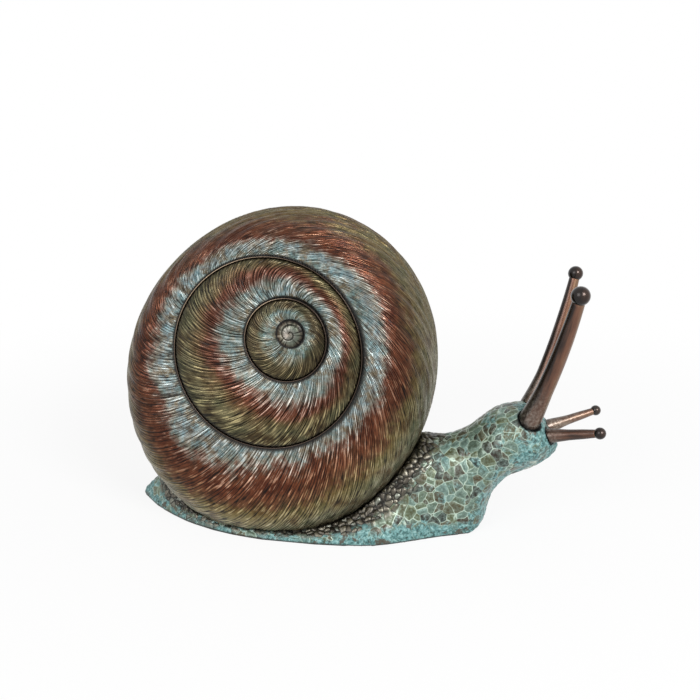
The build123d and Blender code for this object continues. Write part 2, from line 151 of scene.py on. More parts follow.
def whorl_skin(name, cords, shares, place, depth, seed, dip=None, soot_and_shade=0.15, shift=(0, 0, 0), bead=(), sheen_ways=()):
    """A sheet wrapped round a whorl, stalk or ball and combed into cords, or left plain where depth is nought.

    place(turn, share) gives its points in metres, and dip the fall between its broad ribs, where shade is painted.
    shift moves the bands of colour off centre, by an angle, and into an oval. bead gives each row of the bead its
    painted shade or highlight, and the last argument the directions of painted highlights, each with its amount.
    """
    count, columns_each = cords
    turn, across, cord = combed(count, columns_each, seed)
    columns, rows = len(turn) - 1, len(shares) - 1
    deselect()
    bpy.ops.mesh.primitive_grid_add(x_subdivisions=columns, y_subdivisions=rows, size=1)
    piece = bpy.context.object
    piece.name = name
    flat = points_of(piece)[0]
    column = np.rint((flat[:, 0] + 0.5) * columns).astype(int)
    row = np.rint((flat[:, 1] + 0.5) * rows).astype(int)
    share = np.asarray(shares, float)[:, None]
    points = place(turn[None, :], share)
    along = np.gradient(points, axis=0)
    around = np.gradient(points, axis=1)
    around[:, 0] = around[:, -1] = points[:, 1] - points[:, -2]
    normal = np.cross(around, along)
    normal /= np.linalg.norm(normal, axis=2, keepdims=True) + 1e-12

    rng = np.random.default_rng(seed + 1)
    groove = rng.uniform(*groove_depths, count)
    groove = np.where(across < 0.5, groove[cord], groove[(cord + 1) % count])
    swells = rng.uniform(*swells_along, count)[cord] * share + rng.uniform(0, 1, count)[cord]
    swell = 1 - swell_size * (1 - np.sin(2 * np.pi * swells))
    height = rng.uniform(*cord_heights, count)[cord]
    relief = height * swell * (1 - groove * np.abs(2 * across - 1) ** groove_sharpness)
    relief = np.concatenate([relief, relief[:, :1]], axis=1)
    relief = np.where((share < 0) | (depth == 0), 1, relief)
    fall = dip(turn[None, :], share) if dip else np.zeros(relief.shape)
    points = points - normal * (depth * (1 - relief) + fall)[..., None]
    points[:, -1] = points[:, 0]
    piece.data.vertices.foreach_set("co", points[row, column].ravel())

    spread = points - points.reshape(-1, 3).mean(axis=0)
    way = np.arctan2(spread[..., 2], spread[..., 0])
    # Painted shade in the grooves, in the dips and at the edges; on the bead, painted shade and a painted highlight.
    cord_shading = relief * (1 - soot_and_shade * fall / max(fall.max(), 1e-9))
    cord_shading = cord_shading * np.clip((1 - share) / most_at(way, *inner_edge_shadow), 0, 1)
    if len(bead):
        cord_shading = cord_shading * np.clip(share / most_at(way, *outer_edge_shadow), 0, 1)
        shine = np.interp(share, -np.arange(len(bead), 0, -1), bead) * most_at(way, *bead_highlight)
        cord_shading = np.where(share < 0, shine, cord_shading)
    off_centre, by_angle, oval = shift
    off_centre = off_centre * (shift_at_rim - shift_lost * share)
    band = share + off_centre * np.sin(way + by_angle) + oval * np.sin(2 * way)
    # Painted highlights, brightest in the given directions round the whorl.
    painted_sheen = 0 * band + sum(most_at(way, 0, amount, angle) for angle, amount in sheen_ways)
    attribute(piece, "cord", cord_shading[row, column])
    attribute(piece, "band", np.where(share < 0, share, band)[row, column])
    attribute(piece, "painted_sheen", np.clip(painted_sheen, 0, 1)[row, column])
    attribute(piece, "ring", (share[row, 0] < 0) * 1.0)
    steps = np.diff(points[:, 0], axis=0, prepend=points[:1, 0])
    length = grain_stretch * np.cumsum(np.linalg.norm(steps, axis=1))[:, None]
    wheel = 2 * np.pi * turn[None, :]
    radius = count * cord_pitch / (2 * np.pi)
    grain = np.broadcast_arrays(radius * np.cos(wheel), radius * np.sin(wheel), length)
    attribute(piece, "grain", np.stack(grain, axis=2)[row, column])

    bpy.ops.object.mode_set(mode="EDIT")
    bpy.ops.mesh.select_mode(type="VERT")
    bpy.ops.mesh.select_all(action="SELECT")
    bpy.ops.mesh.remove_doubles(threshold=1e-6)
    bpy.ops.mesh.select_all(action="DESELECT")
    bpy.ops.mesh.select_non_manifold(extend=False, use_wire=False, use_boundary=True, use_multi_face=False)
    bpy.ops.mesh.fill_holes(sides=0)
    bpy.ops.mesh.select_all(action="SELECT")
    bpy.ops.mesh.normals_make_consistent(inside=False)
    bpy.ops.object.mode_set(mode="OBJECT")
    bpy.ops.object.shade_smooth_by_angle(angle=math.radians(60))
    return piece


profile_shares = np.linspace(1, 0, 400)
profile = np.stack(
    [
        shell_radius + (face_radius - shell_radius) * profile_shares,
        whorl_rise(profile_shares, shell_half_width, shell_half_width - face_drop),
    ]
)
profile_length = np.concatenate([[0], np.cumsum(np.linalg.norm(np.diff(profile, axis=1), axis=0))])


def way_out(share):
    """Length of the outer whorl's profile from the face to a share, as a share of its length to the seam."""
    return np.interp(1 - np.asarray(share), 1 - profile_shares, profile_length / profile_length[-1])


def strand_lean(share):
    """How far the strands have swept round clockwise at a share, on their way out to the rim."""
    way = way_out(share)
    return strand_sweep[0] * way + strand_sweep[1] * way**3


def outer_place(turn, share):
    """Points of the outer whorl's right half, on the lines of its strands."""
    rise = whorl_rise(share, shell_half_width, shell_half_width - face_drop)
    radius = shell_radius + (face_radius - shell_radius) * share
    oval = shell_oval * (1 - share)
    angle = 2 * np.pi * turn - strand_lean(share) - shell_oval_angle
    along, across = radius * (1 + oval) * np.cos(angle), radius * (1 - oval) * np.sin(angle)
    x = along * cos_oval - across * sin_oval
    z = along * sin_oval + across * cos_oval
    tilt = face_tilt * rise / shell_half_width
    return np.stack(
        [
            shell_x + face_forward * share + x,
            -rise + z * np.sin(tilt),
            shell_z + face_up * share + z * np.cos(tilt),
        ],
        axis=2,
    )


def outer_dip(turn, share):
    """How far the broad ribs of the outer whorl dip between their crowns, level at the seam and the face."""
    rib = np.arange(rib_count + 1)
    crown = rib + rib_stray * np.sin((rib % rib_count) ** 2)
    places = np.sort(np.concatenate([crown, (crown[1:] + crown[:-1]) / 2]))
    way = way_out(share)
    lean = strand_lean(share) - rib_sweep * (rib_start_lean * way + (1 - rib_start_lean) * way**2)
    wave = np.interp((turn - lean / (2 * np.pi)) % 1 * rib_count, places, np.arange(len(places)))
    held = fade(share, 0, rib_end_rim) * fade(share, 1, rib_end_face)
    return held * (rib_crown + rib_depth * (1 - np.cos(np.pi * wave)) / 2)


def linear(code):
    """Linear colour of an sRGB hex value."""
    channels = [int(code[i : i + 2], 16) / 255 for i in (1, 3, 5)]
    return [c / 12.92 if c <= 0.04045 else ((c + 0.055) / 1.055) ** 2.4 for c in channels] + [1.0]


def add_node(tree, kind, links=(), values=(), stops=(), **settings):
    """Add a node to a tree with its settings, socket values, colour stops and incoming links."""
    made = tree.nodes.new(kind)
    for key, value in settings.items():
        setattr(made, key, value)
    for socket, value in dict(values).items():
        made.inputs[socket].default_value = value
    if stops:
        elements = made.color_ramp.elements
        while len(elements) < len(stops):
            elements.new(0.5)
        for element, (place, code) in zip(elements, stops):
            element.position = place
            element.color = linear(code)
    for socket, source in dict(links).items():
        tree.links.new(source, made.inputs[socket])
    return made


def new_finish(name):
    """An empty node material, with its node tree and its shader joined to the output."""
    finish = bpy.data.materials.new(name)
    finish.use_nodes = True
    tree = finish.node_tree
    tree.nodes.clear()
    shader = add_node(tree, "ShaderNodeBsdfPrincipled")
    add_node(tree, "ShaderNodeOutputMaterial", {"Surface": shader.outputs["BSDF"]})
    return finish, tree, shader


def combed_bronze(name, stops, glints, grey_from):
    """Patinated bronze over combed cords: cloudy bands of colour, painted shade between the cords, painted highlights
    on top.
    """
    finish, tree, shader = new_finish(name)
    band, cord, ring, painted_sheen = (
        add_node(tree, "ShaderNodeAttribute", attribute_name=title).outputs["Fac"]
        for title in ("band", "cord", "ring", "painted_sheen")
    )
    grain = add_node(tree, "ShaderNodeAttribute", attribute_name="grain").outputs["Vector"]
    place = add_node(tree, "ShaderNodeTexCoord").outputs["Object"]
    cloud, stain, spot, stroke, fleck = (
        add_node(
            tree,
            "ShaderNodeTexNoise",
            {"Vector": vector},
            {"Scale": 1 / across, "Detail": detail, "Roughness": roughness},
        ).outputs["Fac"]
        for vector, across, detail, roughness in (
            (place, 26 * mm, 3.0, 0.5),
            (place, 12 * mm, 4.0, 0.5),
            (place, 6 * mm, 5.0, 0.65),
            (grain, 1.5 * mm, 3.0, 0.5),
            (place, 2.4 * mm, 4.0, 0.7),
        )
    )
    moved = band
    for source, amount in ((cloud, 0.36), (spot, 0.36), (stroke, 0.16)):
        swing = {1: amount, 2: -amount / 2}
        swing = add_node(tree, "ShaderNodeMath", {0: source}, swing, operation="MULTIPLY_ADD").outputs[0]
        moved = add_node(tree, "ShaderNodeMath", {0: moved, 1: swing}, operation="ADD").outputs[0]
    patina = add_node(tree, "ShaderNodeValToRGB", {"Fac": moved}, stops=stops).outputs["Color"]
    glint = add_node(tree, "ShaderNodeValToRGB", {"Fac": moved}, stops=glints).outputs["Color"]
    # Thin glazes drift over the bands: brown in some places, a green-blue bloom in others.
    glaze = [(0.36, "#C2AC92"), (0.5, "#FFFFFF"), (0.62, "#D2DED8")]
    glaze = add_node(tree, "ShaderNodeValToRGB", {"Fac": stain}, stops=glaze).outputs["Color"]
    tint = {"data_type": "RGBA", "blend_type": "MULTIPLY"}
    patina = add_node(tree, "ShaderNodeMix", {6: patina, 7: glaze}, {0: 1.0}, **tint).outputs[2]
    # The verdigris breaks up into turquoise spots, beige moss, and flecks of bare dark metal and white bloom.
    grey = add_node(tree, "ShaderNodeMapRange", {0: moved}, {1: grey_from, 2: grey_from + 0.2}).outputs[0]
    for source, low, high, most, code in (
        (spot, 0.53, 0.65, 0.6, "#6E929C"),
        (spot, 0.5, 0.39, 0.85, "#77694F"),
        (fleck, 0.46, 0.36, 0.7, "#453C35"),
        (fleck, 0.54, 0.64, 0.6, "#A8AFAA"),
    ):
        patch = add_node(tree, "ShaderNodeMapRange", {0: source}, {1: low, 2: high, 4: most}).outputs[0]
        held = add_node(tree, "ShaderNodeMath", {0: patch, 1: grey}, operation="MULTIPLY").outputs[0]
        patina = add_node(tree, "ShaderNodeMix", {0: held, 6: patina}, {7: linear(code)}, data_type="RGBA").outputs[2]
    # Strokes on top of the cords get painted highlights, most of all in the directions given for them, and pale ones
    # in the grey.
    keen = add_node(tree, "ShaderNodeMapRange", {0: painted_sheen}, {3: 0.32, 4: 0.95}).outputs[0]
    pale = add_node(tree, "ShaderNodeMath", {0: grey}, {1: 0.75}, operation="MULTIPLY").outputs[0]
    keen = add_node(tree, "ShaderNodeMath", {0: keen, 1: pale}, operation="MAXIMUM").outputs[0]
    lit = add_node(tree, "ShaderNodeMapRange", {0: stroke, 4: keen}, {1: 0.54, 2: 0.68, 3: 0.0}).outputs[0]
    top = add_node(tree, "ShaderNodeMapRange", {0: cord}, {1: 0.35, 2: 0.8}).outputs[0]
    wear_and_highlight = add_node(tree, "ShaderNodeMath", {0: lit, 1: top}, operation="MULTIPLY").outputs[0]
    skin = add_node(tree, "ShaderNodeMix", {0: wear_and_highlight, 6: patina, 7: glint}, data_type="RGBA").outputs[2]
    # Painted shade darkens the grooves between the cords, and dark soot marks some of the strokes.
    shade = [(0.0, "#2E2823"), (0.3, "#948C84"), (0.62, "#FFFFFF")]
    shade = add_node(tree, "ShaderNodeValToRGB", {"Fac": cord}, stops=shade).outputs["Color"]
    soot_and_shade = [(0.33, "#5E5750"), (0.46, "#FFFFFF")]
    soot_and_shade = add_node(tree, "ShaderNodeValToRGB", {"Fac": stroke}, stops=soot_and_shade).outputs["Color"]
    dark = add_node(tree, "ShaderNodeMix", {6: shade, 7: soot_and_shade}, {0: 1.0}, **tint).outputs[2]
    skin = add_node(tree, "ShaderNodeMix", {6: skin, 7: dark}, {0: 1.0}, **tint).outputs[2]
    # Painted light: the colour is made brighter where the highlights are painted, hardly at all in the grey.
    sheen_brightening = add_node(tree, "ShaderNodeMapRange", {0: painted_sheen}, {3: 0.84, 4: 1.32}).outputs[0]
    sheen_brightening = add_node(tree, "ShaderNodeMix", {0: grey, 2: sheen_brightening}, {3: 0.97}).outputs[0]
    skin = add_node(tree, "ShaderNodeVectorMath", {0: skin, "Scale": sheen_brightening}, operation="SCALE").outputs[0]
    # The bead is painted dark in its crease and pale on its top: painted shade and a painted highlight.
    bead = [(0.0, "#0E0B09"), (0.6, "#453930"), (0.95, "#A28E76")]
    bead = add_node(tree, "ShaderNodeValToRGB", {"Fac": cord}, stops=bead).outputs["Color"]
    whole = add_node(tree, "ShaderNodeMix", {0: ring, 6: skin, 7: bead}, data_type="RGBA").outputs[2]
    metal = add_node(tree, "ShaderNodeMapRange", {0: moved}, {1: 0.6, 2: 0.8, 3: 0.8, 4: 0.45}).outputs[0]
    rough = add_node(tree, "ShaderNodeMapRange", {0: stroke}, {1: 0.3, 2: 0.7, 3: 0.4, 4: 0.24}).outputs[0]
    bump = add_node(tree, "ShaderNodeBump", {"Height": stroke}, {"Strength": 0.6, "Distance": 0.5 * mm})
    tree.links.new(whole, shader.inputs["Base Color"])
    tree.links.new(metal, shader.inputs["Metallic"])
    tree.links.new(rough, shader.inputs["Roughness"])
    tree.links.new(bump.outputs["Normal"], shader.inputs["Normal"])
    shader.inputs["Coat Weight"].default_value = 0.12
    shader.inputs["Coat Roughness"].default_value = 0.2
    return finish


# Cast bronze, combed and then patinated with acid under thin wax: satin cords with painted highlights on their tops
# and painted shade between them, in bands of olive, copper red and chalky blue-grey that run into each other.
outer_bronze = combed_bronze(
    "combed bronze, verdigris to olive",
    stops=[
        (0.0, "#7E7960"),
        (0.1, "#736A4A"),
        (0.24, "#685934"),
        (0.34, "#5E3E28"),
        (0.48, "#5C301A"),
        (0.63, "#5A311D"),
        (0.7, "#675044"),
        (0.76, "#747064"),
        (0.86, "#747F80"),
        (1.0, "#6E7D79"),
    ],
    glints=[
        (0.0, "#A8A48E"),
        (0.3, "#A8986E"),
        (0.45, "#A87A5A"),
        (0.62, "#C8A28A"),
        (0.76, "#D4D4CC"),
        (0.9, "#D2DEDE"),
    ],
    grey_from=0.7,
)
outer_right = whorl_skin(
    "shell_skin_right",
    cords=(240, 5),
    shares=np.linspace(0, 1, 76) ** 1.35,
    place=outer_place,
    depth=0.4 * mm,
    seed=3,
    dip=outer_dip,
    shift=(0.135, 0.0, 0.06),
    sheen_ways=((60, 0.5), (265, 1), (315, 1)),
)
pick(outer_right)
bpy.ops.object.mode_set(mode="EDIT")
bpy.ops.mesh.select_all(action="SELECT")
bpy.ops.mesh.bisect(plane_co=(0, 0, shell_lo.z), plane_no=(0, 0, 1), use_fill=True, clear_inner=True)
bpy.ops.object.mode_set(mode="OBJECT")
outer_right.data.materials.append(outer_bronze)


def other_side(piece, name):
    """A mirrored copy of a piece for the snail's left side, with its own mesh."""
    pick(piece)
    bpy.ops.object.duplicate()
    twin = bpy.context.object
    twin.name = name
    bpy.ops.transform.resize(value=(1, -1, 1), center_override=(0, 0, 0))
    bpy.ops.object.transform_apply(location=True, rotation=True, scale=True)
    bpy.ops.object.mode_set(mode="EDIT")
    bpy.ops.mesh.select_all(action="SELECT")
    bpy.ops.mesh.normals_make_consistent(inside=False)
    bpy.ops.object.mode_set(mode="OBJECT")
    return twin


outer_left = other_side(outer_right, "shell_skin_left")
for piece, node in ((outer_right, "shell_right_half"), (outer_left, "shell_left_half")):
    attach(piece, "root")
    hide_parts(node)

# Second and third whorls. Domed bronze castings, each pressed into a round seat in the whorl below, with a
# polished bead round the rim. They are combed and patinated like the outer whorl, in narrower bands.

face_turn = face_tilt * (shell_half_width - face_drop) / shell_half_width
face_origin = np.array([shell_x + face_forward, face_drop - shell_half_width, shell_z + face_up])
face_axes = np.array(
    [
        [1, 0, 0],
        [0, math.sin(face_turn), math.cos(face_turn)],
        [0, -math.cos(face_turn), math.sin(face_turn)],
    ]
)
bead_width = 1 * mm
bead_out = np.array([0, 0, -0.15, -0.45, -0.75, -0.95]) * mm
bead_up = np.array([-1.2, 1.1, 1.5, 1.65, 1.5, 0.4]) * mm
# Painted shade and highlight across the rows of the bead: dark at its feet, brightest on its top.
bead_shading = (0.0, 0.15, 0.75, 1.0, 0.7, 0.0)
bead_steps = -np.arange(len(bead_out), 0, -1)
dome_shares = np.concatenate([bead_steps, np.linspace(0.006, 1, 44)])
dome_cord_depth = 0.6 * mm
dome_sweep_even = 0.6


def dome_place(base, rim, edge, crest, seat, shift, sweep):
    """Points of a domed whorl: a bead round its rim, then a dome that ends at the seat of the next whorl."""

    def place(turn, share):
        dome = np.clip(share, 0, 1)
        out = 1 - dome
        angle = 2 * np.pi * turn - sweep * (dome_sweep_even * out + (1 - dome_sweep_even) * out**2)
        radius = (rim - bead_width) + (edge - rim + bead_width) * dome
        rise = whorl_rise(dome, crest, seat)
        on_bead = share < 0
        radius = np.where(on_bead, rim + np.interp(share, bead_steps, bead_out), radius)
        rise = np.where(on_bead, np.interp(share, bead_steps, bead_up), rise)
        local = np.broadcast_arrays(
            base[0] + shift[0] * dome + radius * np.cos(angle),
            base[1] + shift[1] * dome + radius * np.sin(angle),
            base[2] + rise,
        )
        return face_origin + np.stack(local, axis=2) @ face_axes

    return place


second_place = dome_place(
    base=(0, 0, 0),
    rim=63.7 * mm,
    edge=28.2 * mm,
    crest=7.6 * mm,
    seat=5.6 * mm,
    shift=(14 * mm, 10.7 * mm),
    sweep=math.radians(30),
)
third_place = dome_place(
    base=(14 * mm, 10.7 * mm, 5.6 * mm),
    rim=27.4 * mm,
    edge=9.4 * mm,
    crest=4.8 * mm,
    seat=3.8 * mm,
    shift=(4 * mm, 4.8 * mm),
    sweep=math.radians(32),
)
# The same bronze with a narrow red band: dark olive at the bead, whitish painted highlights on strokes over the
# blue-grey.
second_bronze = combed_bronze(
    "combed bronze, second whorl",
    stops=[
        (0.0, "#4E4832"),
        (0.15, "#5C553C"),
        (0.3, "#5A492F"),
        (0.42, "#532E1B"),
        (0.54, "#583122"),
        (0.63, "#6C584D"),
        (0.73, "#797D76"),
        (1.0, "#6F7E7A"),
    ],
    glints=[
        (0.0, "#A89E74"),
        (0.3, "#AA9C72"),
        (0.45, "#B08470"),
        (0.6, "#DCC2B2"),
        (0.72, "#E0E0D8"),
        (0.9, "#D4DFDF"),
    ],
    grey_from=0.64,
)
# The same bronze with no red left: dull olive that turns to grey-green towards the button.
third_bronze = combed_bronze(
    "combed bronze, third whorl",
    stops=[
        (0.0, "#3E3622"),
        (0.2, "#4C432D"),
        (0.4, "#584E38"),
        (0.54, "#6A6856"),
        (0.7, "#6C7A71"),
        (1.0, "#68776F"),
    ],
    glints=[(0.0, "#948860"), (0.4, "#A89874"), (0.6, "#BEB8A6"), (0.8, "#BCCAC6")],
    grey_from=0.5,
)
# Directions round the second and third whorls in which highlights are painted, each with its amount.
second_sheen_ways = ((30, 0.6), (245, 1), (300, 0.8))
third_sheen_ways = ((230, 0.8), (300, 0.8))
for title, cords, place, finish, seed, shift, sheen_ways in (
    ("second_whorl", (150, 6), second_place, second_bronze, 11, (0.105, 0.65, 0), second_sheen_ways),
    ("third_whorl", (96, 6), third_place, third_bronze, 23, (0.06, 0, 0), third_sheen_ways),
):
    right = whorl_skin(
        f"{title}_skin_right",
        cords=cords,
        shares=dome_shares,
        place=place,
        depth=dome_cord_depth,
        seed=seed,
        shift=shift,
        bead=bead_shading,
        sheen_ways=sheen_ways,
    )
    right.data.materials.append(finish)
    left = other_side(right, f"{title}_skin_left")
    for piece, side in ((right, "right"), (left, "left")):
        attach(piece, "root")
        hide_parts(f"{title}_{side}")

# Apex button. A small turned bronze cap, pressed into the middle of the third whorl.
# A spiral is scratched into its top, and it is rubbed back to grey and copper.

apex_base = np.array([18, 15.5, 9.4]) * mm
apex_radius = 8.6 * mm
apex_rise = 3.4 * mm
apex_edge = 0.8 * mm
apex_foot = -1 * mm
apex_roundness = 2.4
scratch_depth = 0.7 * mm
scratch_turns = 1.7
scratch_half_width = 0.17
scratch_start = 0.16
scratch_set_in, scratch_run_out = 12, 9


def apex_place(turn, share):
    """Points of the button: a short upright edge, then a cap."""
    cap = np.clip(share, 0, 1)
    radius = apex_radius * (1 - cap)
    rise = apex_edge + (apex_rise - apex_edge) * (1 - (1 - cap) ** apex_roundness)
    rise = np.where(share < 0, apex_foot, rise)
    angle = 2 * np.pi * turn
    local = np.broadcast_arrays(
        apex_base[0] + radius * np.cos(angle), apex_base[1] + radius * np.sin(angle), apex_base[2] + rise
    )
    return face_origin + np.stack(local, axis=2) @ face_axes


def apex_scratch(turn, share):
    """Depth of the spiral scratch, which runs more than one turn from the edge to the middle."""
    cap = np.clip(share, 0, 1)
    coil = np.abs(((1 - cap) * scratch_turns + turn) % 1 - 0.5)
    ends = np.clip((cap - scratch_start) * scratch_set_in, 0, 1)
    ends = ends * np.clip((1 - cap) * scratch_run_out, 0, 1)
    return scratch_depth * np.clip(1 - coil / scratch_half_width, 0, 1) * ends


# Bronze that fingers have rubbed: smooth and pale grey to copper, with painted shade in the scratch and at the edge,
# and a painted highlight on one side.
button_bronze = combed_bronze(
    "rubbed bronze with painted light, apex button",
    stops=[(0.0, "#2A221B"), (0.14, "#5A5448"), (0.3, "#7A7C70"), (0.6, "#84807A"), (1.0, "#9C8C80")],
    glints=[(0.0, "#8A7A68"), (0.4, "#B8B4A6"), (1.0, "#D8CABC")],
    grey_from=1.0,
)
apex_right = whorl_skin(
    "apex_cap_right",
    cords=(24, 5),
    shares=np.concatenate([[-1], np.linspace(0, 0.985, 40)]),
    place=apex_place,
    depth=0,
    seed=31,
    dip=apex_scratch,
    soot_and_shade=1.0,
    bead=(0.0,),
    sheen_ways=((215, 1),),
)
apex_right.data.materials.append(button_bronze)
apex_left = other_side(apex_right, "apex_cap_left")
for piece, side in ((apex_right, "right"), (apex_left, "left")):
    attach(piece, "root")
    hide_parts(f"apex_button_{side}")

# Body. One hollow bronze casting: foot, neck and head, with the shell's pocket in its back.
# The skin is a cobble of small scales, worn to olive and dark metal on top, and the grooves between them
# hold pale turquoise verdigris that spreads over the margin of the foot, the throat and the tail.

skin_voxel = 0.85 * mm
covered_gap = 1.5 * mm
sole_height, sole_slope = 4.5 * mm, -0.6
core_half_width = 30 * mm
core_reach, core_step = 80 * mm, 2 * mm
head_from, head_above = 100 * mm, 60 * mm
shell_reach = 40 * mm
hidden_ratio = 0.03
large_scale, small_scale = 6.4 * mm, 4 * mm
# The right stalks in millimetres, each from its seat to the middle of its ball, and the radii of their collars.
upper_stalk = np.array([[119.1, -13.6, 87.0], [144.0, -35.1, 176.2]])
lower_stalk = np.array([[133.0, -9.6, 73.0], [163.6, -22.2, 81.9]])
upper_collar, lower_collar = 7.5, 4.9
joint_out, joint_in, joint_reach = 1.9 * mm, 1.3 * mm, 6 * mm

cad_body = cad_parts["body_casting"]
body = bpy.data.objects.new("scaly_body", cad_body.data.copy())
bpy.context.scene.collection.objects.link(body)
pick(body)
body.data.materials.clear()
bpy.ops.object.mode_set(mode="EDIT")
bpy.ops.mesh.select_all(action="SELECT")
bpy.ops.mesh.remove_doubles(threshold=1e-5)
bpy.ops.object.mode_set(mode="OBJECT")
body.data.remesh_voxel_size = skin_voxel
bpy.ops.object.voxel_remesh()
settle = body.modifiers.new("settle", "SMOOTH")
settle.factor = 0.5
settle.iterations = 4
bpy.ops.object.modifier_apply(modifier="settle")


def tree_of(nodes):
    """Search tree over the triangles of some CAD nodes."""
    corners, faces = [], []
    for name in nodes:
        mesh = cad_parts[name].data
        start = len(corners)
        corners.extend(vertex.co.copy() for vertex in mesh.vertices)
        faces.extend([start + i for i in face.vertices] for face in mesh.polygons)
    return BVHTree.FromPolygons(corners, faces)


# The sole, the core's hollow and the pocket under the shell are out of sight, so their skin is thinned out.
shell_tree = tree_of(["shell_right_half", "shell_left_half"])
body_tree = tree_of(["body_casting"])
points, normals = points_of(body)
covered = np.zeros(len(points), bool)
for i, (point, normal) in enumerate(zip(points, normals)):
    spot, way = Vector(point), Vector(normal)
    under = normal[2] < sole_slope and point[2] < sole_height
    hollow = abs(point[1]) < core_half_width and not (point[2] > head_above and point[0] > head_from)
    hollow = hollow and body_tree.ray_cast(spot + way * core_step, way, core_reach)[0] is not None
    covered[i] = under or hollow or shell_tree.find_nearest(spot, covered_gap)[3] is not None
corners = np.empty(len(body.data.loops), int)
body.data.loops.foreach_get("vertex_index", corners)
covered_face = covered[corners.reshape(-1, 4)].all(axis=1)
bpy.ops.object.mode_set(mode="EDIT")
bpy.ops.mesh.select_mode(type="FACE")
bpy.ops.mesh.select_all(action="DESELECT")
bpy.ops.object.mode_set(mode="OBJECT")
body.data.polygons.foreach_set("select", covered_face)
bpy.ops.object.mode_set(mode="EDIT")
bpy.ops.mesh.decimate(ratio=hidden_ratio)
bpy.ops.object.mode_set(mode="OBJECT")

points, normals = points_of(body)
attribute(body, "rest", points)
away = np.full(len(points), shell_reach)
for i, point in enumerate(points):
    found = shell_tree.find_nearest(Vector(point), shell_reach)[3]
    away[i] = shell_reach if found is None else found
front, level = points[:, 0], points[:, 2]
by_shell = fade(away, 21 * mm, 6 * mm) * (1 - 0.7 * fade(level, 10 * mm, 3 * mm))
attribute(body, "by_shell", by_shell)
margin = fade(level, 15 * mm, 2 * mm) * (0.55 + 0.45 * fade(front, -20 * mm, 34 * mm))
throat = np.clip(normals[:, 0] * 1.2 - 0.15, 0, 1) * fade(front, 60 * mm, 90 * mm)
tail = 0.3 * fade(front, -95 * mm, -135 * mm)
crown = 0.35 * fade(front, 92 * mm, 114 * mm)
attribute(body, "verdigris", np.max([margin, throat, tail, crown], axis=0))
socket = np.zeros(len(points))
for line, collar in ((upper_stalk * mm, upper_collar * mm), (lower_stalk * mm, lower_collar * mm)):
    for sign in (1, -1):
        foot, tip = line * (1, sign, 1)
        reach = points - foot
        way = (tip - foot) / np.linalg.norm(tip - foot)
        off_line = np.linalg.norm(reach - (reach @ way)[:, None] * way, axis=1)
        ring = fade(off_line, collar + joint_out, collar + joint_in)
        socket = np.maximum(socket, ring * (np.linalg.norm(reach, axis=1) < collar + joint_reach))
attribute(body, "socket", socket)
attribute(body, "skin", fade(level, 1 * mm, 2.5 * mm))


def scale_pattern(tree, place, near):
    """Irregular cobbles, large, and small by the shell: nearness to their joints, and a colour for each."""
    warp = add_node(tree, "ShaderNodeTexNoise", {"Vector": place}, {"Scale": 1 / (9 * mm), "Detail": 1.0})
    warp = add_node(tree, "ShaderNodeVectorMath", {0: warp.outputs["Color"]}, {1: [0.5] * 3}, operation="SUBTRACT")
    bent = {0: warp.outputs[0], 2: place}
    bent = add_node(tree, "ShaderNodeVectorMath", bent, {1: [4 * mm] * 3}, operation="MULTIPLY_ADD").outputs[0]
    close = add_node(tree, "ShaderNodeMapRange", {0: near}, {1: 0.4, 2: 0.5}).outputs[0]
    joints, colours = [], []
    for across in (large_scale, small_scale):
        shape = {"Scale": 1 / across, "Randomness": 0.9}
        edge = add_node(tree, "ShaderNodeTexVoronoi", {"Vector": bent}, shape, feature="DISTANCE_TO_EDGE")
        cell = add_node(tree, "ShaderNodeTexVoronoi", {"Vector": bent}, shape, feature="F1")
        joints.append(edge.outputs["Distance"])
        colours.append(cell.outputs["Color"])
    joint = add_node(tree, "ShaderNodeMix", {0: close, 2: joints[0], 3: joints[1]}).outputs[0]
    colour = add_node(tree, "ShaderNodeMix", {0: close, 6: colours[0], 7: colours[1]}, data_type="RGBA").outputs[2]
    return joint, colour


soft = {"interpolation_type": "SMOOTHSTEP"}
relief = bpy.data.node_groups.new("raised scales", "GeometryNodeTree")
relief.interface.new_socket(name="Geometry", in_out="INPUT", socket_type="NodeSocketGeometry")
relief.interface.new_socket(name="Geometry", in_out="OUTPUT", socket_type="NodeSocketGeometry")
entry = add_node(relief, "NodeGroupInput").outputs[0]
spot = add_node(relief, "GeometryNodeInputPosition").outputs[0]
normal = add_node(relief, "GeometryNodeInputNormal").outputs[0]
skin, near = (
    add_node(relief, "GeometryNodeInputNamedAttribute", values={"Name": title}, data_type="FLOAT").outputs[0]
    for title in ("skin", "by_shell")
)
joint = scale_pattern(relief, spot, near)[0]
depth = add_node(relief, "ShaderNodeMapRange", {0: near}, {3: -0.4 * mm, 4: -0.8 * mm}).outputs[0]
sunk = add_node(relief, "ShaderNodeMapRange", {0: joint, 3: depth}, {1: 0.0, 2: 0.26, 4: 0.0}, **soft).outputs[0]
held = add_node(relief, "ShaderNodeMath", {0: sunk, 1: skin}, operation="MULTIPLY").outputs[0]
step = add_node(relief, "ShaderNodeVectorMath", {0: normal, "Scale": held}, operation="SCALE").outputs[0]
moved = add_node(relief, "GeometryNodeSetPosition", {"Geometry": entry, "Offset": step}).outputs[0]
add_node(relief, "NodeGroupOutput", {0: moved})
scales = body.modifiers.new("scales", "NODES")
scales.node_group = relief
pick(body)
bpy.ops.object.modifier_apply(modifier="scales")
body_lo, body_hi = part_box("body_casting")
body.data.vertices.foreach_set("co", np.clip(points_of(body)[0], body_lo, body_hi).ravel())
bpy.ops.object.shade_smooth_by_angle(angle=math.radians(70))

